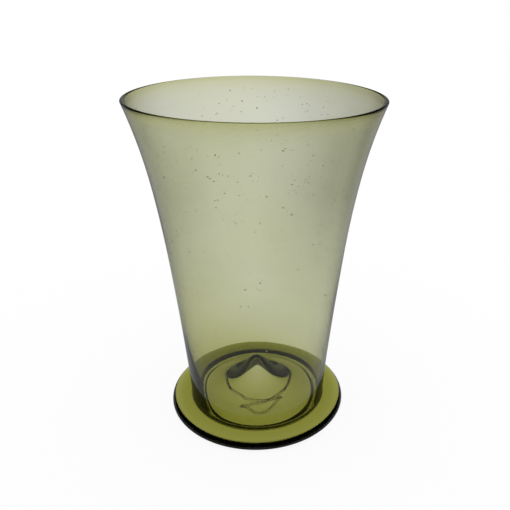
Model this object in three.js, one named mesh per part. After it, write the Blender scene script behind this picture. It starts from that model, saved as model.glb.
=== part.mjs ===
// A free-blown beer glass in olive glass. It is made of three gathers of glass: the tall flaring
// bowl with its pushed-up base, the foot ring wound round the bowl's heel, and the rough scar of
// glass that the pontil rod left under the floor.
// Millimetres, +Z up. The table is z = 0 and the glass stands on the Z axis.
import * as THREE from 'three';

// Bowl, outside: a straight taper, a flare that grows towards the lip, and a slightly full heel
const glassHeight = 165.5;
const rimRadius = 60;
const taperRadius = 35;
const wallTaper = 0.0973;
const flarePower = 4.95;
const heelFullness = 0.76;
const heelFullnessFade = 18;

// Bowl, walls: thin at the lip, thick at the heel, with a fire-polished bead on the rim
const lipWall = 0.66;
const heelWall = 3;
const heelWallFade = 18;
const lipBeadRadius = 0.85;
const lipBeadFade = 6;
const lipRound = 0.55;

// Bowl, base: a domed floor pushed up into a pointed kick, with a wall of its own at the tip
const floorWall = 2.1;
const cornerRadius = 1.7;
const heelRound = 1.15;
const domeRise = 6.15;
const kickHeight = 26.3;
const kickWidth = 9.6;
const kickPower = 2.37;
const tipWall = 1.8;

// Bowl, underside: a cone hollowed into the kick, and a low edge inside the foot ring
const hollowEdge = 0.55;
const hollowRise = 1.9;
const hollowWidth = 8.7;
const hollowPower = 1.48;
const hollowTip = 0.84;
const plugRound = 0.5;

// Foot ring: a coil of glass with a rounded edge, fuller below, and a collar round the heel
const footRadius = 47;
const footThickness = 4.9;
const footRise = 0.5;
const edgeTop = 3.6;
const edgeUnder = 6.85;
const edgeHeight = 2.25;
const ringHoleRadius = 30.4;
const ringHoleRound = 0.85;
const seatHeight = 2.5;
const heelClearance = 0.3;
const collarTop = 6.25;
const collarWall = 0.5;
const collarFillet = 2.6;

// Pontil scar: a broken ring under the floor, long to the front, with one wide chip there
const scarMiddleX = 0.4;
const scarMiddleY = 7;
const scarAside = 16.6;
const scarFront = 23;
const scarBack = 12;
const scarFullness = 0.8;
const scarWidth = 2;
const scarDepth = 0.9;
const scarRoughness = 0.22;
const scarClearance = 0.3;
const chipReach = 5.5;
const chipAngle = THREE.MathUtils.degToRad(-84);
const chipHalfAngle = THREE.MathUtils.degToRad(30);

// How finely the round shapes are divided
const turnSteps = 64;
const wallSteps = 13;
const floorSteps = 11;
const arcSteps = 4;

// Heights and slopes that follow from the sizes above
const lipCentre = glassHeight - lipRound;
const flareReach = rimRadius - taperRadius - wallTaper * lipCentre;
const floorEdge = seatHeight + floorWall;
const cornerTop = floorEdge + cornerRadius;
const heelTop = seatHeight + heelRound;
const plugRadius = ringHoleRadius - heelClearance;
const hollowHeight = kickHeight - tipWall;

// Outside radius of the bowl at a height
function wallOuter(z) {
  const taper = taperRadius + wallTaper * z;
  const flare = flareReach * (z / lipCentre) ** flarePower;
  const heel = heelFullness * Math.exp(-z / heelFullnessFade);
  return taper + flare + heel;
}

// Wall thickness at a height: it fades from the heel to the lip and swells again into the bead
function wallThickness(z) {
  const heel = (heelWall - lipWall) * Math.exp(-z / heelWallFade);
  const bead = (2 * lipBeadRadius - lipWall) * Math.exp((z - lipCentre) / lipBeadFade);
  return lipWall + heel + bead;
}

function wallInner(z) {
  return wallOuter(z) - wallThickness(z);
}

const floorRadius = wallInner(cornerTop) - cornerRadius;

// A dome that falls as the square of the radius, times a steady rise and a bell that drops as a
// power of the radius
function raised(r, reach, edge, rise, top, width, power) {
  const bell = 1 / (1 + (r / width) ** power);
  return edge + (1 - (r / reach) ** 2) * (rise + (top - edge - rise) * bell);
}

// Height of the floor's top face: a shallow dome that turns into a steep, blunt-tipped cone
function floorTop(r) {
  return raised(r, floorRadius, floorEdge, domeRise, kickHeight, kickWidth, kickPower);
}

// Height of the floor's underside: the same kind of curve, with its tip rounded by a hyperbola
function floorUnder(r) {
  const blunt = Math.hypot(r, hollowTip) - hollowTip;
  return raised(blunt, plugRadius, hollowEdge, hollowRise, hollowHeight, hollowWidth, hollowPower);
}

// Points of a stretch of an ellipse, in degrees, on a profile of radius and height
function arc(centreR, centreZ, reachR, reachZ, fromDeg, toDeg, steps) {
  const points = [];
  for (let i = 0; i <= steps; i += 1) {
    const angle = THREE.MathUtils.degToRad(fromDeg + (toDeg - fromDeg) * i / steps);
    points.push([centreR + reachR * Math.cos(angle), centreZ + reachZ * Math.sin(angle)]);
  }
  return points;
}

// Points [radius, height] of a curve given by its radius at each height
function alongHeight(radiusAt, fromZ, toZ, steps) {
  const points = [];
  for (let i = 0; i <= steps; i += 1) {
    const z = fromZ + (toZ - fromZ) * i / steps;
    points.push([radiusAt(z), z]);
  }
  return points;
}

// Points [radius, height] of a curve given by its height at each radius, closer together
// towards the axis, where the kick is steep
function alongRadius(heightAt, outerR, steps) {
  const points = [];
  for (let i = 0; i <= steps; i += 1) {
    const r = outerR * (i / steps) ** 1.3;
    points.push([r, heightAt(r)]);
  }
  return points;
}

// Turns a profile of [radius, height] points about the Z axis. A point that repeats the one
// before it is left out.
function turned(profile, steps) {
  const points = [];
  for (const [r, z] of profile) {
    const last = points.at(-1);
    if (!last || Math.hypot(last.x - r, last.y - z) > 1e-6) points.push(new THREE.Vector2(r, z));
  }
  const geometry = new THREE.LatheGeometry(points, steps);
  geometry.rotateX(Math.PI / 2);
  return geometry;
}

// The bowl in one closed profile: from under the tip of the kick, out to the heel, up the outside,
// over the lip, down the inside and back up the kick to its tip
function bowlGeometry() {
  const heelOuter = wallOuter(heelTop);
  const lipOuter = wallOuter(lipCentre);
  const plugFlat = plugRadius - plugRound;
  return turned([
    ...alongRadius(floorUnder, plugFlat, floorSteps),
    [plugRadius, floorUnder(plugFlat) + plugRound],
    [plugRadius, seatHeight],
    ...arc(heelOuter - heelRound, heelTop, heelRound, heelRound, -90, 0, arcSteps),
    ...alongHeight(wallOuter, heelTop, lipCentre, wallSteps),
    ...arc(lipOuter - lipBeadRadius, lipCentre, lipBeadRadius, lipRound, 0, 180, arcSteps),
    ...alongHeight(wallInner, lipCentre, cornerTop, wallSteps),
    ...arc(floorRadius, cornerTop, cornerRadius, cornerRadius, 0, -90, arcSteps),
    ...alongRadius(floorTop, floorRadius, floorSteps).reverse(),
  ], turnSteps);
}

// The foot ring: flat below, a round edge, a top that rises to the collar, and a step inside
// that the bowl's heel stands on
function footRingGeometry() {
  const flange = footThickness + footRise;
  const holdsAt = (z) => wallOuter(z) + heelClearance;
  const neck = holdsAt(collarTop) + collarWall;
  const heelOuter = wallOuter(heelTop);
  const heelCup = heelRound + heelClearance;
  const seatAngle = THREE.MathUtils.radToDeg(Math.asin(heelRound / heelCup));
  const edgeAbove = footThickness - edgeHeight;
  return turned([
    ...arc(ringHoleRadius + ringHoleRound, ringHoleRound, ringHoleRound, ringHoleRound, 180, 270, arcSteps),
    ...arc(footRadius - edgeUnder, edgeHeight, edgeUnder, edgeHeight, -90, 0, 2 * arcSteps),
    ...arc(footRadius - edgeTop, edgeHeight, edgeTop, edgeAbove, 0, 90, 2 * arcSteps),
    ...arc(neck + collarFillet, collarTop, collarFillet, collarTop - flange, 270, 180, arcSteps),
    ...alongHeight(holdsAt, collarTop, heelTop, 2),
    ...arc(heelOuter - heelRound, heelTop, heelCup, heelCup, 0, -seatAngle, arcSteps),
    [ringHoleRadius, seatHeight],
    [ringHoleRadius, ringHoleRound],
  ], turnSteps);
}

// How far the chip carries the scar's outer edge past the ring, at an angle about its middle
function chipAt(angle) {
  const turn = (angle - chipAngle) / chipHalfAngle;
  return chipReach * Math.exp(-(turn ** 4)) * (1 + 0.12 * Math.sin(5 * turn));
}

// The scar: a ring drawn as a depth below the floor, stretched to two half ellipses and along the
// chip, made uneven where the glass broke, and bent to follow the floor's underside
function pontilScarGeometry() {
  const inner = scarAside - scarWidth / 2;
  const across = (share) => inner + scarWidth * share;
  const geometry = turned([
    [across(0), 0],
    [across(0.25), -scarDepth],
    [across(0.7), -scarDepth],
    [across(1), 0],
    [across(0.75), 0],
    [across(0.5), 0],
    [across(0.25), 0],
    [across(0), 0],
  ], turnSteps);
  const position = geometry.attributes.position;
  for (let i = 0; i < position.count; i += 1) {
    const angle = Math.atan2(position.getY(i), position.getX(i));
    const share = (Math.hypot(position.getX(i), position.getY(i)) - inner) / scarWidth;
    const out = scarWidth * (share - 0.5) + chipAt(angle) * share;
    const reach = Math.sin(angle) < 0 ? scarFront : scarBack;
    const x = scarMiddleX + (scarAside + out) * Math.cos(angle);
    const rise = Math.sin(angle);
    const y = scarMiddleY + (reach + out) * Math.sign(rise) * Math.abs(rise) ** scarFullness;
    const rough = 1 + scarRoughness * (Math.sin(3 * angle + 1) + 0.6 * Math.sin(8 * angle));
    const height = floorUnder(Math.hypot(x, y)) - scarClearance + position.getZ(i) * rough;
    position.setXYZ(i, x, y, height);
  }
  geometry.computeVertexNormals();
  return geometry;
}

// Olive glass, paler where the wall is thin
function oliveGlass(color, opacity, roughness) {
  return new THREE.MeshStandardMaterial({ color, roughness, metalness: 0, transparent: true, opacity });
}

function piece(name, geometry, material) {
  const mesh = new THREE.Mesh(geometry, material);
  mesh.name = name;
  return mesh;
}

const glass = new THREE.Group();
glass.add(
  piece('bowl', bowlGeometry(), oliveGlass(0xb9bd92, 0.45, 0.03)),
  piece('foot_ring', footRingGeometry(), oliveGlass(0x858240, 0.7, 0.05)),
  piece('pontil_scar', pontilScarGeometry(), oliveGlass(0x8f8d58, 0.6, 0.4)),
);

export default glass;
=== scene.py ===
# %% [markdown]
# # A free-blown beer glass in olive glass
#
# The object is a tall flared glass, blown from one gather of olive glass. Its floor is pushed up
# into a pointed kick, a coil of the same glass makes the foot, and a rough scar under the floor
# shows where the pontil rod was cracked off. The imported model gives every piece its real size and
# place. Here each piece is drawn again as a smooth surface of turning, because glass shows every
# facet: light bends at each face, so a coarse mesh would glitter like a cut stone.

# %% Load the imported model
import bpy
import math
import numpy as np
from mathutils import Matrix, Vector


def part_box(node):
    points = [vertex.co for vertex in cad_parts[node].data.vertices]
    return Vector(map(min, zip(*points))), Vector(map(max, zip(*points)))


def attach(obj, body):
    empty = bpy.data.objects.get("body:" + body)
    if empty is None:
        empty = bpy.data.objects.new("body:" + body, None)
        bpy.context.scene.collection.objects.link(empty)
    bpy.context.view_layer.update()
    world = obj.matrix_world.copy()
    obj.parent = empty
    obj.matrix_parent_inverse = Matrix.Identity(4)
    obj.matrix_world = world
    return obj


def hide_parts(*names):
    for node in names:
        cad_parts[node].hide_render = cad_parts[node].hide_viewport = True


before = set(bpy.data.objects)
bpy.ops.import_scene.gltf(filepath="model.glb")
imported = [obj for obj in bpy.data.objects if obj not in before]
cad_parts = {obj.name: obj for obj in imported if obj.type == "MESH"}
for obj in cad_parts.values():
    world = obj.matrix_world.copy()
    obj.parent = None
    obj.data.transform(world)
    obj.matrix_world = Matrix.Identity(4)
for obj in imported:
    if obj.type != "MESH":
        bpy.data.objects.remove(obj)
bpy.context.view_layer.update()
bowl_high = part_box("bowl")[1]
ring_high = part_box("foot_ring")[1]
print("nodes:", sorted(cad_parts))

# %% [markdown]
# ## The camera
#
# The photograph looks slightly down into the glass from close by, so the mouth is a wide ellipse
# and the foot a rounder one. Distance, height and lens follow from those two ellipses. A long
# lens from far away would make both ellipses alike, and the glass would look flatter.

# %% Place the camera
CAMERA_BACK, CAMERA_HEIGHT, CAMERA_ASIDE = 0.2786, 0.2129, -0.0014
CAMERA_DOWN = math.radians(24.54)
LENS, SENSOR = 42.6, 36.0

lens = bpy.data.cameras.new("studio_camera")
lens.lens, lens.sensor_width = LENS, SENSOR
camera = bpy.data.objects.new("studio_camera", lens)
camera.location = (CAMERA_ASIDE, -CAMERA_BACK, CAMERA_HEIGHT)
camera.rotation_euler = (math.pi / 2 - CAMERA_DOWN, 0, 0)
bpy.context.collection.objects.link(camera)
bpy.context.scene.camera = camera
print("camera", tuple(round(v, 4) for v in camera.location))

# %% [markdown]
# ## Surfaces of turning
#
# Every piece of this glass was made while it turned, so every piece is a profile carried round
# the axis. A profile could be spun with a Screw modifier, but then its unevenness could not be
# added ring by ring. So a grid of points is worked out at once: one row for each step of the
# profile, one column for each step round the axis.

# %% Helpers that turn a profile into a mesh
MM = 0.001
TURN_STEPS = 240


def link_mesh(name, points, faces):
    """Makes a smooth-shaded mesh object at the origin from points in millimetres."""
    mesh = bpy.data.meshes.new(name)
    mesh.from_pydata((points * MM).tolist(), [], faces)
    mesh.shade_smooth()
    mesh.update()
    piece = bpy.data.objects.new(name, mesh)
    bpy.context.collection.objects.link(piece)
    return piece


def grid_faces(rows, columns, closed_rows):
    """Quads between the rows of a grid whose columns go all the way round."""
    steps = rows if closed_rows else rows - 1
    row, column = np.meshgrid(np.arange(steps), np.arange(columns), indexing="ij")
    below, beside = (row + 1) % rows, (column + 1) % columns
    quads = np.stack([row * columns + column, row * columns + beside,
                      below * columns + beside, below * columns + column], axis=-1)
    return quads.reshape(-1, 4).tolist()


def turned_points(radius, height):
    """Carries a profile round Z: x = radius cos(turn), y = radius sin(turn), z = height."""
    turn = np.linspace(0, 2 * np.pi, TURN_STEPS, endpoint=False)
    x = radius[:, None] * np.cos(turn)
    y = radius[:, None] * np.sin(turn)
    z = np.broadcast_to(height[:, None], x.shape)
    return np.stack([x, y, z], axis=-1)


print("points in each ring:", TURN_STEPS)

# %% [markdown]
# ## The bowl's wall
#
# The wall rises in a nearly straight taper and then flares, faster and faster, to the mouth. That
# is what a blown bubble does when it is opened out with a wooden tool while it spins. The wall is
# thinnest below the lip, where the glass was stretched most, and thickest at the heel. Reheating
# drew the lip up into a bead. The two sides of the wall are two functions of height. They could
# be drawn as curves by hand, but a function keeps both sides even and gives the place of a seed
# between them.

# %% The wall as two functions of height
GLASS_HEIGHT = bowl_high.z / MM
RIM_RADIUS = bowl_high.x / MM
TAPER_RADIUS, WALL_TAPER, FLARE_POWER = 35.0, 0.0973, 4.95
HEEL_FULLNESS, HEEL_FADE = 0.76, 18.0
LIP_WALL, HEEL_WALL, HEEL_WALL_FADE = 0.62, 3.0, 18.0
BEAD_RADIUS, BEAD_FADE, LIP_ROUND = 0.94, 4.0, 0.55
LIP_CENTRE = GLASS_HEIGHT - LIP_ROUND
FLARE_REACH = RIM_RADIUS - TAPER_RADIUS - WALL_TAPER * LIP_CENTRE


def wall_outer(z):
    """Outside radius: a straight taper, plus a flare that grows as a high power of the height,
    plus a fading fullness at the heel."""
    flare = FLARE_REACH * (z / LIP_CENTRE) ** FLARE_POWER
    heel = HEEL_FULLNESS * np.exp(-z / HEEL_FADE)
    return TAPER_RADIUS + WALL_TAPER * z + flare + heel


def wall_inner(z):
    """Inside radius: the outside less a wall that fades from the heel to the lip and then
    swells into the bead."""
    heel = (HEEL_WALL - LIP_WALL) * np.exp(-z / HEEL_WALL_FADE)
    bead = (2 * BEAD_RADIUS - LIP_WALL) * np.exp((z - LIP_CENTRE) / BEAD_FADE)
    return wall_outer(z) - LIP_WALL - heel - bead


print("lip radius", round(float(wall_outer(LIP_CENTRE)), 2), "mm")

# %% [markdown]
# ## The floor and the kick
#
# While the base was soft it was pushed up from below with a tool, which keeps its middle off the
# table. The floor is a shallow dome that steepens into a narrow cone with a blunt tip. The hollow
# runs about 5 mm below it and ends in a sharper tip, so at the very top the glass is under 2 mm
# thick. Both faces are the same kind of curve. The way they lean against each other decides where
# light gets through, and where it is turned back and leaves the dark wings beside the tip.

# %% The floor's two faces as functions of radius
SEAT_HEIGHT = 2.5
FLOOR_WALL, CORNER_RADIUS, HEEL_ROUND = 2.1, 1.7, 1.15
DOME_RISE, KICK_HEIGHT, KICK_WIDTH, KICK_POWER = 6.15, 26.3, 9.6, 2.37
TIP_WALL = 1.8
HOLLOW_EDGE, HOLLOW_RISE, HOLLOW_HEIGHT = 0.55, 1.9, KICK_HEIGHT - TIP_WALL
HOLLOW_WIDTH, HOLLOW_POWER, HOLLOW_TIP = 8.7, 1.48, 0.84
PLUG_RADIUS, PLUG_ROUND = 30.1, 0.5
FLOOR_EDGE = SEAT_HEIGHT + FLOOR_WALL
CORNER_TOP = FLOOR_EDGE + CORNER_RADIUS
HEEL_TOP = SEAT_HEIGHT + HEEL_ROUND
FLOOR_RADIUS = float(wall_inner(CORNER_TOP)) - CORNER_RADIUS


def raised(r, reach, edge, rise, top, width, power):
    """A dome that falls as the square of the radius, times a sum of a steady rise and a bell
    that drops as a power of the radius."""
    bell = 1 / (1 + (r / width) ** power)
    return edge + (1 - (r / reach) ** 2) * (rise + (top - edge - rise) * bell)


def floor_top(r):
    """Height of the floor's top face."""
    return raised(r, FLOOR_RADIUS, FLOOR_EDGE, DOME_RISE, KICK_HEIGHT, KICK_WIDTH, KICK_POWER)


def floor_under(r):
    """Height of the underside: the same curve, with a tip rounded by a hyperbola."""
    blunt = np.sqrt(r ** 2 + HOLLOW_TIP ** 2) - HOLLOW_TIP
    return raised(blunt, PLUG_RADIUS, HOLLOW_EDGE, HOLLOW_RISE, HOLLOW_HEIGHT,
                  HOLLOW_WIDTH, HOLLOW_POWER)


print("flat floor radius", round(FLOOR_RADIUS, 2), "mm")

# %% [markdown]
# ## What the hand leaves in the glass
#
# A blown glass is never quite true. This one leans a little to one side, its foot and rim are
# faintly oval, and its rim sags at the sides. Its bore sits off centre at the heel, its kick was
# pushed up slightly towards the front, and its wall ripples where the glass was not fully mixed.
# Each vertex could be pushed about by chance, but glass flows, and its faces stay smooth. So small
# functions of place do this to the grids, and every point moves with its neighbours.

# %% Lean and ripple as functions of place
LEAN, LEAN_START = -1.9, 5.0
FOOT_FORWARD, FORWARD_FADE = -0.9, 30.0
FOOT_OVAL, RIM_OVAL = 0.014, -0.008
RIM_TILT, RIM_SAG, RIM_POWER = 0.0024, 0.45, 4
BORE_SHIFT, BORE_FADE = 0.9, 30.0
KICK_SHIFT, HOLLOW_SHIFT, SHIFT_WIDTH = (-0.6, -2.5), (-0.4, -2.5), 9.0
RIPPLE, RIPPLE_FROM, RIPPLE_FULL = 0.035, 12.0, 32.0
RIPPLE_WAVES = ((1.0, 3, 13.0), (0.7, 5, -21.0), (0.5, 2, 6.5))
NO_DIVIDE = 1e-6


def lean(points):
    """Draws each ring out into a faint oval by the sine of twice the turn, tilts the rim and lets
    its sides sag, shears points sideways in step with their height, and carries the lowest of
    them forward by a share that falls evenly with height."""
    x, y, z = points[..., 0], points[..., 1], points[..., 2]
    oval = FOOT_OVAL + (RIM_OVAL - FOOT_OVAL) * z / GLASS_HEIGHT
    swell = 1 + oval * 2 * x * y / np.maximum(x ** 2 + y ** 2, NO_DIVIDE)
    moved = points * np.stack([swell, swell, np.ones_like(z)], axis=-1)
    drop = RIM_TILT * x + RIM_SAG * (x / RIM_RADIUS) ** 2
    moved[..., 2] -= drop * (z / GLASS_HEIGHT) ** RIM_POWER
    moved[..., 0] += LEAN * np.clip(z - LEAN_START, 0, None) / (GLASS_HEIGHT - LEAN_START)
    moved[..., 1] += FOOT_FORWARD * np.clip(1 - z / FORWARD_FADE, 0, 1)
    return moved


def ripple(points, phase):
    """A faint radial wave that fades in above the heel: the sum of three slow sines. Each has a
    share, a number of crests round the glass and a height that turns it by one radian."""
    turn = np.arctan2(points[..., 1], points[..., 0])
    z = points[..., 2]
    wave = sum(share * np.sin(crests * turn + z / climb + number * phase)
               for number, (share, crests, climb) in enumerate(RIPPLE_WAVES, 1))
    return RIPPLE * wave * np.clip((z - RIPPLE_FROM) / (RIPPLE_FULL - RIPPLE_FROM), 0, 1)


def push_aside(points, radius, shift):
    """Moves the middle of the floor aside by a bell of the radius, widest at the tip."""
    fade = np.clip(1 - (radius / FLOOR_RADIUS) ** 2, 0, 1)
    bell = fade / (1 + (radius / SHIFT_WIDTH) ** KICK_POWER)
    points[..., 0] += shift[0] * bell
    points[..., 1] += shift[1] * bell


print("the rim leans", LEAN, "mm, its sides sag", RIM_SAG, "mm")

# %% [markdown]
# ## Seeds
#
# Seeds are tiny bubbles of air that stayed in the melt. They could be separate beads, but a real
# bubble is a hole in the glass, so each is a closed cavity of the bowl itself, with its faces
# turned to the air inside it. Blowing stretched them along the wall and left them thin across it,
# and more of them are seen high up, where the wall was drawn out of the first of the gather.

# %% Points and faces of the seeds
SEED_COUNT, SEED_DRAW = 480, 7
SEED_LOW, SEED_HIGH, SEED_CROWDING = 24.0, 160.0, 0.45
SEED_ALONG, SEED_ACROSS = (0.17, 0.5), (0.12, 0.19)
WIDE_RARITY, HIGH_RARITY = 2, 3
SEED_RINGS, SEED_SIDES = 5, 8


def unit_ball():
    """A coarse ball of radius one: rings by the sine and cosine of their tilt, and two poles."""
    tilt = np.pi * (np.arange(SEED_RINGS) + 1) / (SEED_RINGS + 1)
    side = 2 * np.pi * np.arange(SEED_SIDES) / SEED_SIDES
    rings = np.stack([np.outer(np.sin(tilt), np.cos(side)), np.outer(np.sin(tilt), np.sin(side)),
                      np.outer(np.cos(tilt), np.ones(SEED_SIDES))], axis=-1)
    return np.concatenate([rings.reshape(-1, 3), [[0, 0, 1], [0, 0, -1]]])


def seed_shells():
    """Ellipsoids in the middle of the wall: flat across it, and long along it by chance, where a
    power of the draw makes the long ones rare."""
    rng = np.random.default_rng(SEED_DRAW)
    z = SEED_LOW + (SEED_HIGH - SEED_LOW) * rng.random(SEED_COUNT) ** SEED_CROWDING
    turn = 2 * np.pi * rng.random(SEED_COUNT)
    span = SEED_ALONG[1] - SEED_ALONG[0]
    wide = SEED_ALONG[0] + span * rng.random(SEED_COUNT) ** WIDE_RARITY
    high = SEED_ALONG[0] + span * rng.random(SEED_COUNT) ** HIGH_RARITY
    flat = SEED_ACROSS[0] + (SEED_ACROSS[1] - SEED_ACROSS[0]) * rng.random(SEED_COUNT)
    ball = unit_ball()
    out, along, up = (ball[None, :, i] * size[:, None] for i, size in enumerate((flat, wide, high)))
    middle = (wall_outer(z) + wall_inner(z)) / 2
    x = (middle[:, None] + out) * np.cos(turn)[:, None] - along * np.sin(turn)[:, None]
    y = (middle[:, None] + out) * np.sin(turn)[:, None] + along * np.cos(turn)[:, None]
    x = x + BORE_SHIFT / 2 * np.exp(-z / BORE_FADE)[:, None]
    return np.stack([x, y, z[:, None] + up], axis=-1)


def seed_faces(first_point):
    """One ellipsoid's faces, turned inwards, repeated for every seed from a first point on."""
    grid = np.array(grid_faces(SEED_RINGS, SEED_SIDES, False))[:, ::-1]
    ring = np.arange(SEED_SIDES)
    after = (ring + 1) % SEED_SIDES
    top, bottom = SEED_RINGS * SEED_SIDES, SEED_RINGS * SEED_SIDES + 1
    last = (SEED_RINGS - 1) * SEED_SIDES
    above = np.stack([np.full(SEED_SIDES, top), after, ring], axis=-1)
    below = np.stack([np.full(SEED_SIDES, bottom), last + ring, last + after], axis=-1)
    starts = first_point + np.arange(SEED_COUNT)[:, None, None] * (bottom + 1)
    caps = (starts + np.concatenate([above, below])).reshape(-1, 3)
    return (starts + grid).reshape(-1, 4).tolist() + caps.tolist()


print("seeds:", SEED_COUNT, "of", len(seed_faces(0)) // SEED_COUNT, "faces")

# %% [markdown]
# ## The bowl's section
#
# The section starts under the tip of the kick, runs out under the floor, up past the seat to the
# heel, up the outside, over the lip, down the inside and back up the kick. Inside and outside
# could be two open sheets, but closed like this they are a real body of glass, which light needs
# to be coloured by the way it travels.

# %% Rows of the bowl's section
WALL_ROWS, FLOOR_ROWS, ARC_ROWS, PLUG_ROWS = 90, 60, 9, 4
TIP_CROWDING, LIP_CROWDING = 1.15, 0.9
BEAD_FROM, BEAD_TO = 20, 160


def arc(centre_r, centre_z, reach_r, reach_z, start, end, steps):
    """Radii and heights of a stretch of an ellipse from one angle to another, in degrees."""
    angle = np.radians(np.linspace(start, end, steps))
    return centre_r + reach_r * np.cos(angle), centre_z + reach_z * np.sin(angle)


def bowl_profile():
    """Radii and heights of the bowl's section, and how many of its rows lie on the outside. A
    power of the row's share crowds the rows towards the tip and towards the lip."""
    heel_r, lip_r = float(wall_outer(HEEL_TOP)), float(wall_outer(LIP_CENTRE))
    share = np.linspace(0, 1, FLOOR_ROWS) ** TIP_CROWDING
    r_under, r_top = (PLUG_RADIUS - PLUG_ROUND) * share, FLOOR_RADIUS * share[::-1]
    plug_low = float(floor_under(PLUG_RADIUS - PLUG_ROUND)) + PLUG_ROUND
    up, down = np.linspace(0, 1, WALL_ROWS), np.linspace(1, 0, WALL_ROWS)
    z_up = HEEL_TOP + (LIP_CENTRE - HEEL_TOP) * up ** LIP_CROWDING
    z_down = CORNER_TOP + (LIP_CENTRE - CORNER_TOP) * down ** LIP_CROWDING
    corner = arc(FLOOR_RADIUS, CORNER_TOP, CORNER_RADIUS, CORNER_RADIUS, 0, -90, ARC_ROWS)
    outside = [
        (r_under, floor_under(r_under)),
        (np.full(PLUG_ROWS, PLUG_RADIUS), np.linspace(plug_low, SEAT_HEIGHT, PLUG_ROWS)),
        arc(heel_r - HEEL_ROUND, HEEL_TOP, HEEL_ROUND, HEEL_ROUND, -90, 0, ARC_ROWS),
        (wall_outer(z_up[1:]), z_up[1:]),
        arc(lip_r - BEAD_RADIUS, LIP_CENTRE, BEAD_RADIUS, LIP_ROUND, BEAD_FROM, BEAD_TO, ARC_ROWS),
    ]
    inside = [
        (wall_inner(z_down), z_down),
        tuple(side[1:] for side in corner),
        (r_top[1:], floor_top(r_top[1:])),
    ]
    radius, height = (np.concatenate([part[i] for part in outside + inside]) for i in (0, 1))
    return radius, height, sum(len(part[0]) for part in outside)


print("rows in the bowl's section:", len(bowl_profile()[0]))

# %% [markdown]
# ## The bowl as one closed surface
#
# The section is turned, and then made uneven. The bore and the ripple of the inside are not those
# of the outside, so the wall gets thicker and thinner round the glass, as a blown one does. Tip
# and hollow each end in one point on the axis, and fans of triangles close the surface there.

# %% Draw the bowl
PHASE_INSIDE, PHASE_OUTSIDE = 0.8, 2.9


def fan_faces(tip, ring_start, outwards):
    """Triangles from a tip on the axis to the ring of points that starts at ring_start."""
    ring = ring_start + np.arange(TURN_STEPS)
    after = ring_start + (np.arange(TURN_STEPS) + 1) % TURN_STEPS
    first, second = (ring, after) if outwards else (after, ring)
    return np.stack([np.full(TURN_STEPS, tip), first, second], axis=-1).tolist()


def draw_bowl():
    """Turns the section, shifts the bore and the kick, adds the ripple, closes both poles and
    puts in the seeds."""
    radius, height, rows_outside = bowl_profile()
    grid = turned_points(radius, height)
    turn = np.arctan2(grid[..., 1], grid[..., 0])
    inside = (np.arange(len(radius)) >= rows_outside)[:, None]
    wave = np.where(inside, ripple(grid, PHASE_INSIDE), ripple(grid, PHASE_OUTSIDE))
    towards_wall = np.clip(radius / FLOOR_RADIUS, 0, 1)[:, None]
    bore = BORE_SHIFT * np.exp(-grid[..., 2] / BORE_FADE) * towards_wall
    grid[..., 0] += np.where(inside, bore, 0) + wave * np.cos(turn)
    grid[..., 1] += wave * np.sin(turn)
    push_aside(grid[:FLOOR_ROWS], radius[:FLOOR_ROWS, None], HOLLOW_SHIFT)
    push_aside(grid[-FLOOR_ROWS:], radius[-FLOOR_ROWS:, None], KICK_SHIFT)
    ends = grid[[0, -1], 0]
    grid = grid[1:-1]
    rows = len(grid)
    tip = rows * TURN_STEPS
    points = lean(np.concatenate([grid.reshape(-1, 3), ends, seed_shells().reshape(-1, 3)]))
    faces = grid_faces(rows, TURN_STEPS, False)
    faces += fan_faces(tip, 0, False) + fan_faces(tip + 1, (rows - 1) * TURN_STEPS, True)
    return link_mesh("blown_bowl", points, faces + seed_faces(tip + len(ends)))


bowl = draw_bowl()
print("bowl faces", len(bowl.data.polygons))

# %% [markdown]
# ## The foot ring
#
# The foot is a coil of hot glass wound round the heel. Its edge is round, fuller below than above,
# and it meets the wall in a small hollow curve. It could be a bent tube, but winding flattened it,
# so it is a section of its own, carried round. Here it reaches a hair's breadth into the bowl,
# because on the real glass the two are welded, and a gap of air would shine like a mirror.

# %% Draw the foot ring
FOOT_RADIUS = ring_high.x / MM
FOOT_THICKNESS, FOOT_RISE = 4.9, 0.5
EDGE_TOP, EDGE_UNDER, EDGE_HEIGHT = 3.6, 6.85, 2.25
WELD = 0.06
HOLE_RADIUS, HOLE_ROUND = PLUG_RADIUS - WELD, 0.85
COLLAR_TOP, COLLAR_FILLET = 6.25, 2.6
FLAT_ROWS, EDGE_ROWS, FILLET_ROWS, SEAT_ROWS = 12, 25, 12, 6
EDGE_STEP = 4


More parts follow.
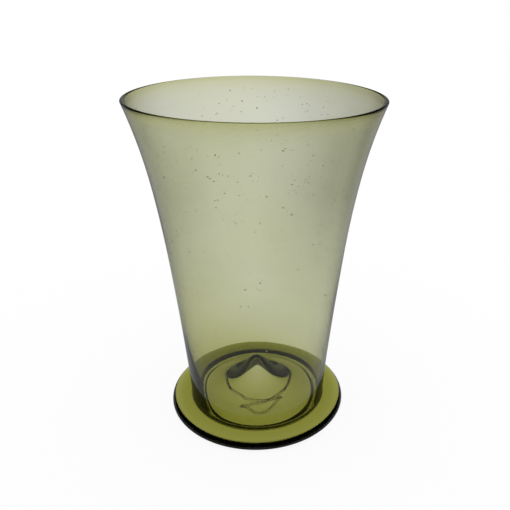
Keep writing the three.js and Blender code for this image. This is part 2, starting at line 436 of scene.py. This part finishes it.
def foot_profile():
    """Radii and heights of the ring's section, once round from the edge of its hole: the resting
    face, the edge in two quarter ellipses, the top, the fillet, and the step round the heel."""
    flange, above = FOOT_THICKNESS + FOOT_RISE, FOOT_THICKNESS - EDGE_HEIGHT
    under_r, top_r = FOOT_RADIUS - EDGE_UNDER, FOOT_RADIUS - EDGE_TOP
    fillet_r = float(wall_outer(COLLAR_TOP)) + WELD + COLLAR_FILLET
    heel_r = float(wall_outer(HEEL_TOP)) - HEEL_ROUND
    heel_in = HEEL_ROUND - WELD
    z_in = np.linspace(COLLAR_TOP, HEEL_TOP, ARC_ROWS)
    r_flat = np.linspace(HOLE_RADIUS + HOLE_ROUND, under_r, FLAT_ROWS)[1:-1]
    r_top = np.linspace(top_r, fillet_r, FLAT_ROWS)[1:-1]
    seat = np.linspace(heel_r, HOLE_RADIUS, SEAT_ROWS)[1:]
    heel = arc(heel_r, HEEL_TOP, heel_in, heel_in, 0, -90, ARC_ROWS)
    parts = [
        arc(HOLE_RADIUS + HOLE_ROUND, HOLE_ROUND, HOLE_ROUND, HOLE_ROUND, 180, 270, ARC_ROWS),
        (r_flat, np.zeros_like(r_flat)),
        arc(under_r, EDGE_HEIGHT, EDGE_UNDER, EDGE_HEIGHT, -90, 0, EDGE_ROWS),
        arc(top_r, EDGE_HEIGHT, EDGE_TOP, above, EDGE_STEP, 90, EDGE_ROWS - 1),
        (r_top, np.interp(r_top, [fillet_r, top_r], [flange, FOOT_THICKNESS])),
        arc(fillet_r, COLLAR_TOP, COLLAR_FILLET, COLLAR_TOP - flange, 270, 180, FILLET_ROWS),
        (wall_outer(z_in) - WELD, z_in),
        tuple(side[1:] for side in heel),
        (seat, np.full_like(seat, SEAT_HEIGHT + WELD)),
    ]
    return np.concatenate([r for r, z in parts]), np.concatenate([z for r, z in parts])


def draw_foot_ring():
    """Turns the section into a closed ring."""
    radius, height = foot_profile()
    points = lean(turned_points(radius, height).reshape(-1, 3))
    return link_mesh("welded_foot_ring", points, grid_faces(len(radius), TURN_STEPS, True))


foot = draw_foot_ring()
print("foot ring faces", len(foot.data.polygons))

# %% [markdown]
# ## The pontil scar
#
# To finish the lip, the glass was held from below on an iron rod with a dab of hot glass. Cracking
# it off left a thin broken ridge in a ring under the floor, and a chip with three sharp sides that
# runs out towards the front. Both could be carved out of the floor, but what was left there is
# glass of the dab. So each ridge is a strip along a closed line, and the lines come first.

# %% The scar's two lines
RING_MIDDLE, RING_ASIDE, RING_FRONT, RING_BACK, RING_FULL = (0.4, 7.0), 16.6, 23.0, 12.0, 0.8
RING_WAVER, RING_TREMBLE = 0.015, 0.008
BACK_DEPTH, SIDE_DEPTH, DEPTH_FALL = 0.1, 0.7, 1.2
CHIP_MIDDLE, CHIP_ASIDE, CHIP_FRONT, CHIP_BACK = (1.8, -16.0), 10.4, 7.4, 1.5
CHIP_SLANT, CHIP_TILT, CHIP_WAVER, CHIP_DEPTH = 0.8, 0.28, 0.2, 0.9


def ring_line(turn):
    """The broken ring: two full half ellipses, long to the front and short to the back, that
    waver a little and grow shallow towards the back."""
    waver = 1 + RING_WAVER * np.sin(4 * turn + 1) + RING_TREMBLE * np.sin(9 * turn)
    rise = np.sin(turn)
    reach = np.where(rise < 0, RING_FRONT, RING_BACK)
    x = RING_MIDDLE[0] + RING_ASIDE * waver * np.cos(turn)
    y = RING_MIDDLE[1] + reach * waver * np.sign(rise) * np.abs(rise) ** RING_FULL
    depth = BACK_DEPTH + (1 - BACK_DEPTH) * np.clip(SIDE_DEPTH - DEPTH_FALL * rise, 0, 1)
    return x, y, depth


def chip_line(turn):
    """The chip: one gently curved side along the ring, and two sides that run to a blunt point
    at the front, as the cube of a sine does, all with a faint waver."""
    front, back = np.clip(-np.sin(turn), 0, 1), np.clip(np.sin(turn), 0, 1)
    x = CHIP_MIDDLE[0] + CHIP_ASIDE * np.cos(turn) + CHIP_SLANT * front
    y = CHIP_MIDDLE[1] - CHIP_FRONT * front ** 3 - CHIP_BACK * back ** 2 + CHIP_TILT * x
    return x, y + CHIP_WAVER * np.sin(7 * turn), np.full_like(turn, CHIP_DEPTH)


print("the ring reaches", RING_FRONT - RING_MIDDLE[1], "mm to the front of the axis")

# %% [markdown]
# ## The scar's ridges
#
# A ridge is a strip along its line, deepest in the middle, and rough because it was torn. Its
# depth is measured below the floor, so that it follows the floor wherever it goes, and its back
# lies a hair's breadth inside the floor, as glass that is welded to it.

# %% Draw the scar
RIDGE_WIDTH, RIDGE_DEPTH, RIDGE_ROWS = 1.3, 0.7, 9
RIDGE_ROUGHNESS, FINE_SHARE = 0.3, 0.6


def ridge_points(line):
    """A strip along a closed line: across it the depth is a half wave, along it two quick sines
    make it rough, and the same number of rows runs back over the top, inside the floor."""
    turn = np.linspace(0, 2 * np.pi, TURN_STEPS, endpoint=False)
    x, y, depth = line(turn)
    along = np.stack([np.roll(x, -1) - np.roll(x, 1), np.roll(y, -1) - np.roll(y, 1)])
    along = along / np.hypot(*along)
    there, back = np.linspace(-1, 1, RIDGE_ROWS), np.linspace(1, -1, RIDGE_ROWS)[1:-1]
    across = np.concatenate([there, back])[:, None]
    below = (np.arange(len(across)) < RIDGE_ROWS)[:, None]
    gx = x + across * RIDGE_WIDTH / 2 * along[1]
    gy = y - across * RIDGE_WIDTH / 2 * along[0]
    rough = 1 + RIDGE_ROUGHNESS * (np.sin(11 * turn + 1) + FINE_SHARE * np.sin(23 * turn))
    wave = np.cos(np.pi / 2 * across) * depth * rough * RIDGE_DEPTH
    sink = np.where(below, -WELD - wave, WELD)
    points = np.stack([gx, gy, floor_under(np.hypot(gx, gy)) + sink], axis=-1)
    push_aside(points, np.hypot(gx, gy), HOLLOW_SHIFT)
    return points


def draw_scar():
    """Both ridges in one piece, each a closed strip."""
    ring, chip = ridge_points(ring_line), ridge_points(chip_line)
    faces = np.array(grid_faces(len(ring), TURN_STEPS, True))
    points = np.concatenate([ring.reshape(-1, 3), chip.reshape(-1, 3)])
    both = np.concatenate([faces, faces + len(ring) * TURN_STEPS])
    return link_mesh("pontil_scar_glass", lean(points), both.tolist())


scar = draw_scar()
print("scar faces", len(scar.data.polygons))

# %% [markdown]
# ## Cords in the melt
#
# Glass from a small pot is never fully mixed. It keeps cords, which bend light a little more than
# the rest, and it was turned all the while, so they run level round it. They could be threads of
# their own, but they are too many and too faint. A noise that is drawn out level, in the tint and
# in the relief of the face, gives the same look.

# %% Streaks and cords
FACE_CLEAR, FACE_STREAKED = (0.92, 0.935, 0.925, 1.0), (0.88, 0.895, 0.88, 1.0)
CORD_SCALE, CORD_DETAIL, CORD_HEIGHT = (9.0, 9.0, 120.0), 3.0, 0.00002
FIRST_COLOUR, SECOND_COLOUR, MIXED_COLOUR = 6, 7, 2  # places of a Mix node's colour sockets


def face_streaks(nodes, links, place):
    """Faint level streaks and cords: noise drawn out round the axis tints and ripples the face."""
    stretch = nodes.new("ShaderNodeMapping")
    stretch.inputs["Scale"].default_value = CORD_SCALE
    links.new(place.outputs["Object"], stretch.inputs["Vector"])
    noise = nodes.new("ShaderNodeTexNoise")
    noise.inputs["Scale"].default_value = 1.0
    noise.inputs["Detail"].default_value = CORD_DETAIL
    links.new(stretch.outputs["Vector"], noise.inputs["Vector"])
    tint = nodes.new("ShaderNodeMix")
    tint.data_type = "RGBA"
    tint.inputs[FIRST_COLOUR].default_value = FACE_CLEAR
    tint.inputs[SECOND_COLOUR].default_value = FACE_STREAKED
    links.new(noise.outputs["Fac"], tint.inputs["Factor"])
    bump = nodes.new("ShaderNodeBump")
    bump.inputs["Strength"].default_value = 1.0
    bump.inputs["Distance"].default_value = CORD_HEIGHT
    links.new(noise.outputs["Fac"], bump.inputs["Height"])
    links.new(tint.outputs[MIXED_COLOUR], nodes["Principled BSDF"].inputs["Base Color"])
    links.new(bump.outputs["Normal"], nodes["Principled BSDF"].inputs["Normal"])


print("cords stand", CORD_HEIGHT / MM, "mm proud")

# %% [markdown]
# ## Wear and breakage
#
# A glass that was used for years is scratched where it was set down, and nowhere else. The scar
# was broken off and never polished, so light scatters on it. Both could be one even roughness, but
# wear comes in scratches and a break in grains. So noise breaks up the roughness, and height holds
# the wear to the lowest tenth of a millimetre of the foot.

# %% Worn and broken faces
WORN_FULL, WORN_NONE = 0.00002, 0.00012
WORN_ROUGHNESS, SCRATCH_SCALE = 0.35, 900.0
BROKEN_SMOOTHEST, BROKEN_ROUGHEST, GRAIN_SCALE = 0.05, 0.4, 700.0


def worn_rest(nodes, links, place):
    """Roughness from wear: high in fine scratches on the resting face, zero everywhere else."""
    axes = nodes.new("ShaderNodeSeparateXYZ")
    links.new(place.outputs["Object"], axes.inputs[0])
    low = nodes.new("ShaderNodeMapRange")
    low.inputs["From Min"].default_value = WORN_FULL
    low.inputs["From Max"].default_value = WORN_NONE
    low.inputs["To Min"].default_value = WORN_ROUGHNESS
    low.inputs["To Max"].default_value = 0.0
    links.new(axes.outputs["Z"], low.inputs["Value"])
    scratches = nodes.new("ShaderNodeTexNoise")
    scratches.inputs["Scale"].default_value = SCRATCH_SCALE
    links.new(place.outputs["Object"], scratches.inputs["Vector"])
    worn = nodes.new("ShaderNodeMath")
    worn.operation = "MULTIPLY"
    links.new(low.outputs["Result"], worn.inputs[0])
    links.new(scratches.outputs["Fac"], worn.inputs[1])
    links.new(worn.outputs[0], nodes["Principled BSDF"].inputs["Roughness"])


def broken_face(nodes, links, place):
    """A rough broken face: fine noise in the roughness."""
    grain = nodes.new("ShaderNodeTexNoise")
    grain.inputs["Scale"].default_value = GRAIN_SCALE
    links.new(place.outputs["Object"], grain.inputs["Vector"])
    rough = nodes.new("ShaderNodeMapRange")
    rough.inputs["To Min"].default_value = BROKEN_SMOOTHEST
    rough.inputs["To Max"].default_value = BROKEN_ROUGHEST
    links.new(grain.outputs["Fac"], rough.inputs["Value"])
    links.new(rough.outputs["Result"], nodes["Principled BSDF"].inputs["Roughness"])


print("wear ends", WORN_NONE / MM, "mm above the table")

# %% [markdown]
# ## Olive glass
#
# The colour of glass lies in its depth, not on its face. A tinted face would colour thin and thick
# glass alike. Here each millimetre that light travels takes the same share of it: about a seventh
# of the red and green and more than a third of the blue. So the thin wall is pale, the foot is
# deep olive and the rounded edge is nearly black, all from one recipe. The face is smooth where
# the fire polished it.

# %% The glass material
GLASS_IOR = 1.5
TAKEN_PER_METRE = 500.0
KEPT_COLOUR = (0.695, 0.695, 0.16, 1.0)


def olive_glass(name, finish):
    """Clear, faintly streaked faces round a volume that takes a steady share of each colour."""
    material = bpy.data.materials.new(name)
    material.use_nodes = True
    nodes, links = material.node_tree.nodes, material.node_tree.links
    face = nodes["Principled BSDF"]
    face.inputs["Roughness"].default_value = 0.0
    face.inputs["IOR"].default_value = GLASS_IOR
    face.inputs["Transmission Weight"].default_value = 1.0
    place = nodes.new("ShaderNodeTexCoord")
    face_streaks(nodes, links, place)
    if finish:
        finish(nodes, links, place)
    depth = nodes.new("ShaderNodeVolumeAbsorption")
    depth.inputs["Color"].default_value = KEPT_COLOUR
    depth.inputs["Density"].default_value = TAKEN_PER_METRE
    links.new(depth.outputs["Volume"], nodes["Material Output"].inputs["Volume"])
    return material


for piece, name, finish in ((bowl, "olive_glass", None), (foot, "olive_foot_glass", worn_rest),
                            (scar, "broken_glass", broken_face)):
    piece.data.materials.append(olive_glass(name, finish))
    print(name, "has", len(piece.data.materials[0].node_tree.nodes), "nodes")

# %% [markdown]
# ## Light
#
# The photograph was taken against a bright ground that shines through the glass, with the room
# dark in front and above. That is how the edges get their dark outlines. A room that is dark only
# in front would look right from one side only. So the ground and the horizon are bright all the
# way round, and each time light is mirrored inside the glass it keeps only a part, as if its way
# had turned towards the dark side of the room. Eight broad lobes round the axis stand for lamps.

# %% The level that both the room and the ground use
SEEN_THROUGH_GLASS, KEPT_PER_MIRRORING = 0.84, 0.38
LOBE_COUNT, LOBE_DIP, LOBE_TURN = 8, 0.48, math.radians(-3)


def math_node(nodes, links, kind, *values):
    """Adds a Math node whose inputs are numbers or other nodes' outputs."""
    node = nodes.new("ShaderNodeMath")
    node.operation = kind
    for socket, value in zip(node.inputs, values):
        if isinstance(value, (int, float)):
            socket.default_value = value
        else:
            links.new(value, socket)
    return node.outputs[0]


def lobed_level(nodes, links, path, vector, near):
    """Brightness that glass sees: a full level, less by one factor for each mirroring, and less
    between the lobes, which are a cosine of the turn about the axis."""
    axes = nodes.new("ShaderNodeSeparateXYZ")
    links.new(vector, axes.inputs[0])
    turn = math_node(nodes, links, "ARCTAN2", axes.outputs["Y"], axes.outputs["X"])
    phase = math_node(nodes, links, "MULTIPLY_ADD", turn, LOBE_COUNT, LOBE_COUNT * LOBE_TURN)
    wave = math_node(nodes, links, "COSINE", phase)
    dip = math_node(nodes, links, "MULTIPLY_ADD", wave, -LOBE_DIP / 2, LOBE_DIP / 2)
    if near is not None:
        dip = math_node(nodes, links, "MULTIPLY", dip, near)
    lobes = math_node(nodes, links, "SUBTRACT", 1.0, dip)
    kept = math_node(nodes, links, "POWER", KEPT_PER_MIRRORING, path.outputs["Glossy Depth"])
    level = math_node(nodes, links, "MULTIPLY", kept, SEEN_THROUGH_GLASS)
    glossy, through = path.outputs["Is Glossy Ray"], path.outputs["Is Transmission Ray"]
    met = math_node(nodes, links, "MAXIMUM", glossy, through)
    seen = math_node(nodes, links, "MULTIPLY", level, met)
    return math_node(nodes, links, "MULTIPLY", seen, lobes)


print("kept after three mirrorings:", round(KEPT_PER_MIRRORING ** 3, 3))

# %% [markdown]
# ## The room
#
# Seen through the glass, the room is bright to just above the horizon and dark overhead, which
# draws a dark line along the bead of the rim. Panels on stands could do this, but their edges
# would show in the glass. A sky has none. To the camera and to the ground it is plain white.

# %% The world
DARK_ROOM = 0.02
HORIZON_TOP, DARK_FROM = math.sin(math.radians(9)), math.sin(math.radians(20))

world = bpy.data.worlds.new("studio")
world.use_nodes = True
bpy.context.scene.world = world
nodes, links = world.node_tree.nodes, world.node_tree.links
path = nodes.new("ShaderNodeLightPath")
where = nodes.new("ShaderNodeTexCoord")
level = lobed_level(nodes, links, path, where.outputs["Generated"], None)
axes = nodes.new("ShaderNodeSeparateXYZ")
links.new(where.outputs["Generated"], axes.inputs[0])
fade = nodes.new("ShaderNodeMapRange")
fade.interpolation_type = "SMOOTHSTEP"
fade.inputs["From Min"].default_value = HORIZON_TOP
fade.inputs["From Max"].default_value = DARK_FROM
fade.inputs["To Min"].default_value = 1.0
fade.inputs["To Max"].default_value = DARK_ROOM
links.new(axes.outputs["Z"], fade.inputs["Value"])
dimmed = math_node(nodes, links, "MULTIPLY", level, fade.outputs["Result"])
direct, scattered = path.outputs["Is Camera Ray"], path.outputs["Is Diffuse Ray"]
plain = math_node(nodes, links, "MAXIMUM", direct, scattered)
links.new(math_node(nodes, links, "ADD", dimmed, plain), nodes["Background"].inputs["Strength"])
nodes["Background"].inputs["Color"].default_value = (1, 1, 1, 1)
print("the room is dark from", round(math.degrees(math.asin(DARK_FROM))), "degrees up")

# %% [markdown]
# ## The ground
#
# The glass stands on a white ground that glows, and lights it from below. A lamp under a matt
# sheet could do this, but slowly. So the ground glows by itself, and a small share of matt paper
# is mixed in, which keeps a faint shadow round the foot. Near the glass the lobes fade out.

# %% The ground
GROUND_SIZE, GROUND_DROP = 4.0, 0.2
GROUND_ALBEDO, SHADOW_SHARE = 0.85, 0.12
GLOW_FOR_WHITE = (1 - SHADOW_SHARE * GROUND_ALBEDO) / (1 - SHADOW_SHARE)
LOBES_FROM, LOBES_FULL = 0.09, 0.35

half = GROUND_SIZE / 2 / MM
corners = np.array([[-half, -half, -GROUND_DROP], [half, -half, -GROUND_DROP],
                    [half, half, -GROUND_DROP], [-half, half, -GROUND_DROP]])
ground = link_mesh("studio_ground", corners, [[0, 1, 2, 3]])
paper = bpy.data.materials.new("pale_ground")
paper.use_nodes = True
nodes, links = paper.node_tree.nodes, paper.node_tree.links
path = nodes.new("ShaderNodeLightPath")
where = nodes.new("ShaderNodeTexCoord")
far = nodes.new("ShaderNodeVectorMath")
far.operation = "LENGTH"
links.new(where.outputs["Object"], far.inputs[0])
near = nodes.new("ShaderNodeMapRange")
near.inputs["From Min"].default_value = LOBES_FROM
near.inputs["From Max"].default_value = LOBES_FULL
links.new(far.outputs["Value"], near.inputs["Value"])
level = lobed_level(nodes, links, path, where.outputs["Object"], near.outputs["Result"])
white = math_node(nodes, links, "MULTIPLY", path.outputs["Is Camera Ray"], GLOW_FOR_WHITE)
glow = nodes.new("ShaderNodeEmission")
links.new(math_node(nodes, links, "ADD", level, white), glow.inputs["Strength"])
matt = nodes["Principled BSDF"]
matt.inputs["Base Color"].default_value = (GROUND_ALBEDO, GROUND_ALBEDO, GROUND_ALBEDO, 1)
matt.inputs["Roughness"].default_value = 1.0
matt.inputs["Specular IOR Level"].default_value = 0.0
share = nodes.new("ShaderNodeMixShader")
share.inputs["Fac"].default_value = SHADOW_SHARE
links.new(glow.outputs[0], share.inputs[1])
links.new(matt.outputs[0], share.inputs[2])
links.new(share.outputs[0], nodes["Material Output"].inputs["Surface"])
ground.data.materials.append(paper)
bpy.context.scene.view_settings.view_transform = "Standard"
print("the ground glows", round(GLOW_FOR_WHITE, 4), "to the camera")

# %% [markdown]
# ## Joining the pieces to the imported model
#
# Each drawn piece stands for one solid of the imported model and rides on its only body, so that it
# is seen in the solid's place and moves with it.

# %% Ride and replace
for piece, node, finish in ((bowl, "bowl", "olive_glass"), (foot, "foot_ring", "olive_glass"),
                            (scar, "pontil_scar", "broken_glass")):
    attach(piece, "root")
    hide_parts(node)
